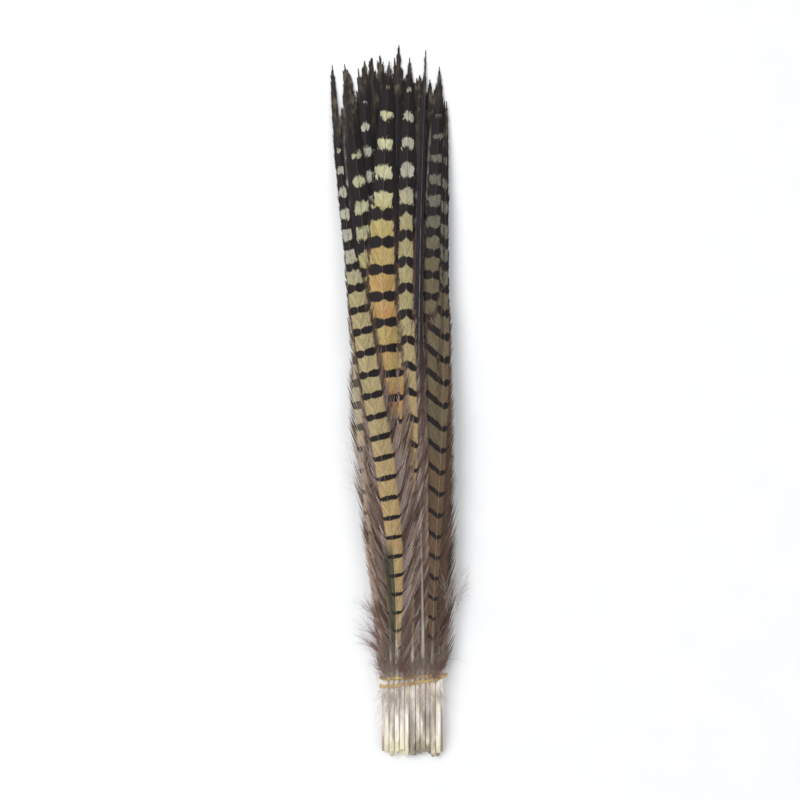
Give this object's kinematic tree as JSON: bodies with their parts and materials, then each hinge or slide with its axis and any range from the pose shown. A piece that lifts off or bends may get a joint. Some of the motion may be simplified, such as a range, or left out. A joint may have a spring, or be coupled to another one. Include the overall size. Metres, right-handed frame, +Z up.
{
  "type": "bundle of pheasant tail feathers",
  "caption": "Bundle of long barred pheasant tail feathers lying flat, bare quills at one end held by a twice-wound rubber band, dark tips fanned at the other.",
  "frame": {"origin": "on the surface the bundle lies on, under the middle of its outline", "axes": "+Y along the feathers from the quill ends to the tips, +Z up"},
  "size_m": [0.066, 0.384, 0.0218],
  "materials": {
    "golden_web": "matt golden-tan barbs with dark brown bars, charcoal near the tip, an ivory shaft and quill",
    "olive_web": "matt grey-olive barbs with dark brown bars, charcoal near the tip, an ivory shaft and quill",
    "cream_web": "matt cream-yellow barbs with dark brown bars, charcoal near the tip, an ivory shaft and quill",
    "dusky_web": "matt lilac-brown barbs with dark bars, charcoal near the tip, an ivory shaft and quill",
    "pale_web": "matt pale stone barbs with dark bars, charcoal near the tip, an ivory shaft and quill",
    "rubber": "yellow rubber, slightly translucent, satin"
  },
  "bodies": {
    "root": {"feather_01": "pale_web", "feather_02": "olive_web", "feather_03": "golden_web", "feather_04": "pale_web", "feather_05": "golden_web", "feather_06": "olive_web", "feather_07": "golden_web", "feather_08": "cream_web", "feather_09": "cream_web", "feather_10": "dusky_web", "feather_11": "cream_web", "feather_12": "olive_web", "feather_13": "cream_web", "feather_14": "dusky_web", "feather_15": "pale_web", "feather_16": "cream_web", "feather_17": "golden_web", "feather_18": "dusky_web", "feather_19": "pale_web", "feather_20": "pale_web", "feather_21": "olive_web", "feather_22": "pale_web", "feather_23": "pale_web", "feather_24": "olive_web", "feather_25": "olive_web", "feather_26": "golden_web", "feather_27": "pale_web", "feather_28": "dusky_web", "feather_29": "cream_web", "feather_30": "dusky_web", "feather_31": "pale_web", "feather_32": "pale_web", "feather_33": "dusky_web", "feather_34": "dusky_web", "feather_35": "dusky_web", "feather_36": "olive_web", "feather_37": "pale_web", "feather_38": "golden_web", "feather_39": "olive_web", "feather_40": "olive_web", "feather_41": "dusky_web", "feather_42": "cream_web", "feather_43": "golden_web", "feather_44": "cream_web", "rubber_band": "rubber"}
  },
  "joints": []
}
